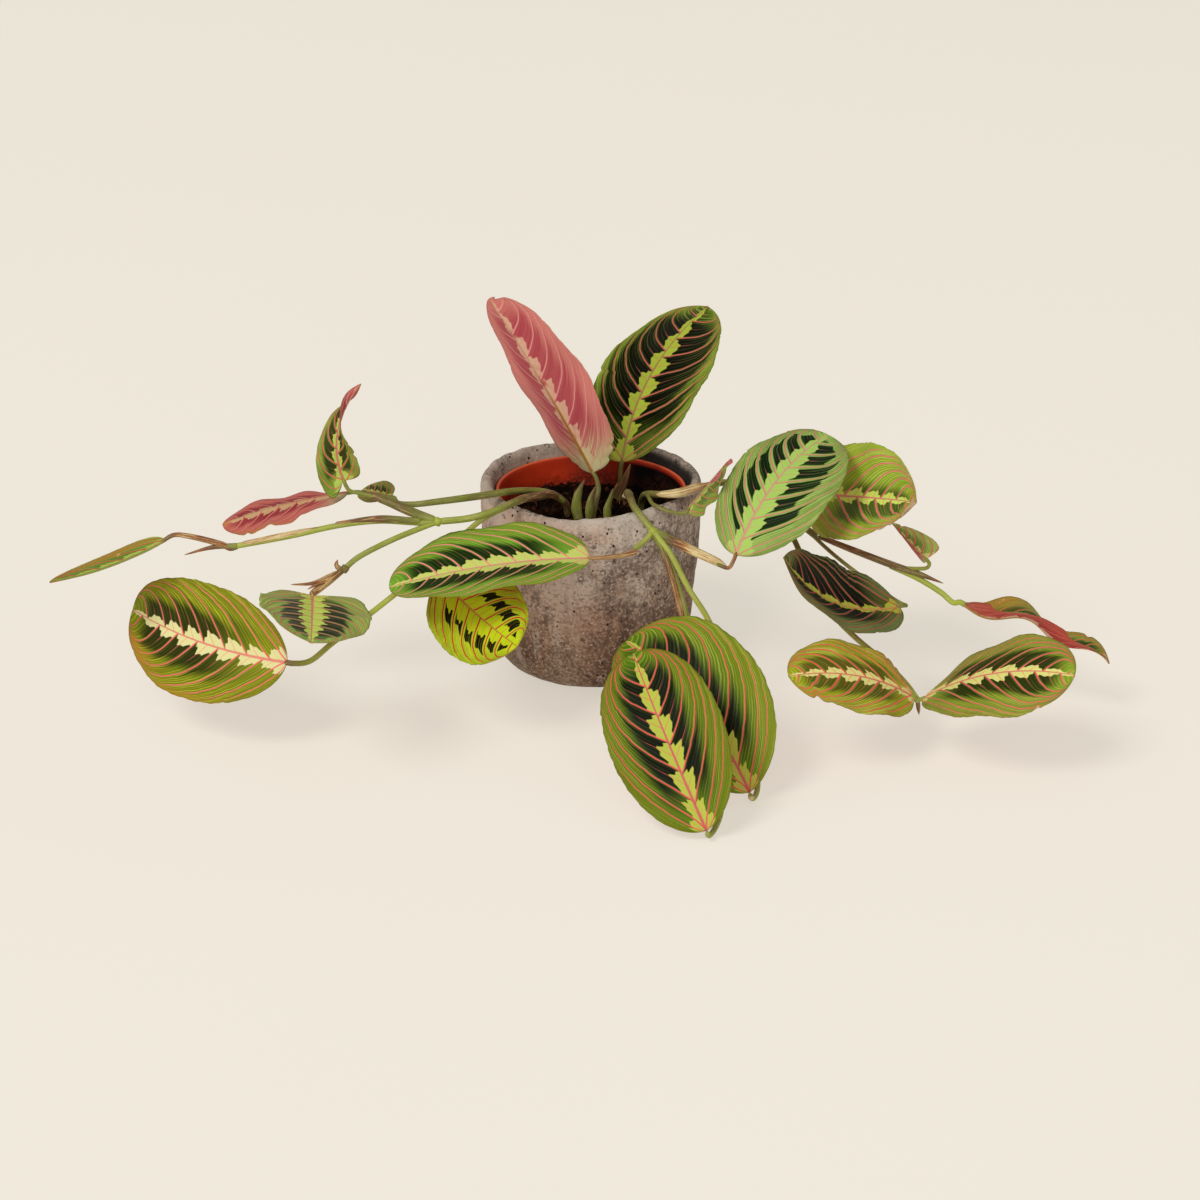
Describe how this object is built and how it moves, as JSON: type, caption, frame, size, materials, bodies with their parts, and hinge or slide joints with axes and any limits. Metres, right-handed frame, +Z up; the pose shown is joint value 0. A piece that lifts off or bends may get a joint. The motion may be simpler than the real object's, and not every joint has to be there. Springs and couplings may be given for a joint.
{
  "type": "potted prayer plant",
  "caption": "Prayer plant with patterned oval leaves on trailing stems, in a plastic nursery pot of soil set in a round cement outer pot.",
  "frame": {"origin": "centre of the outer pot's flat underside, on the surface that the pot stands on", "axes": "+Z up along the pot's axis, +X to the right along the plant's longest spread, +Y away from someone in front of it"},
  "size_m": [0.6316, 0.3198, 0.2372],
  "materials": {
    "cement": "matte",
    "terracotta_plastic": "satin",
    "soil": "matte",
    "stem": "satin",
    "leaf": "satin"
  },
  "bodies": {
    "root": {"outer_pot": "cement", "nursery_pot": "terracotta_plastic", "soil": "soil", "petiole_up_left": "stem", "petiole_up_right": "stem", "bud_sheath": "stem", "stem_left": "stem", "stem_front": "stem", "stem_right": "stem", "leaf_up_left": "leaf", "leaf_up_right": "leaf", "leaf_left_curl": "leaf", "leaf_left_pink": "leaf", "leaf_left_back": "leaf", "leaf_left_far": "leaf", "leaf_left_big": "leaf", "leaf_left_middle": "leaf", "leaf_front_long": "leaf", "leaf_front_round": "leaf", "leaf_right_big": "leaf", "leaf_right_back": "leaf", "leaf_right_small": "leaf", "leaf_right_dark": "leaf", "leaf_right_curl": "leaf", "leaf_right_far": "leaf", "leaf_low_left": "leaf", "leaf_low_right": "leaf", "leaf_ground_back": "leaf", "leaf_ground_front": "leaf"}
  },
  "joints": []
}
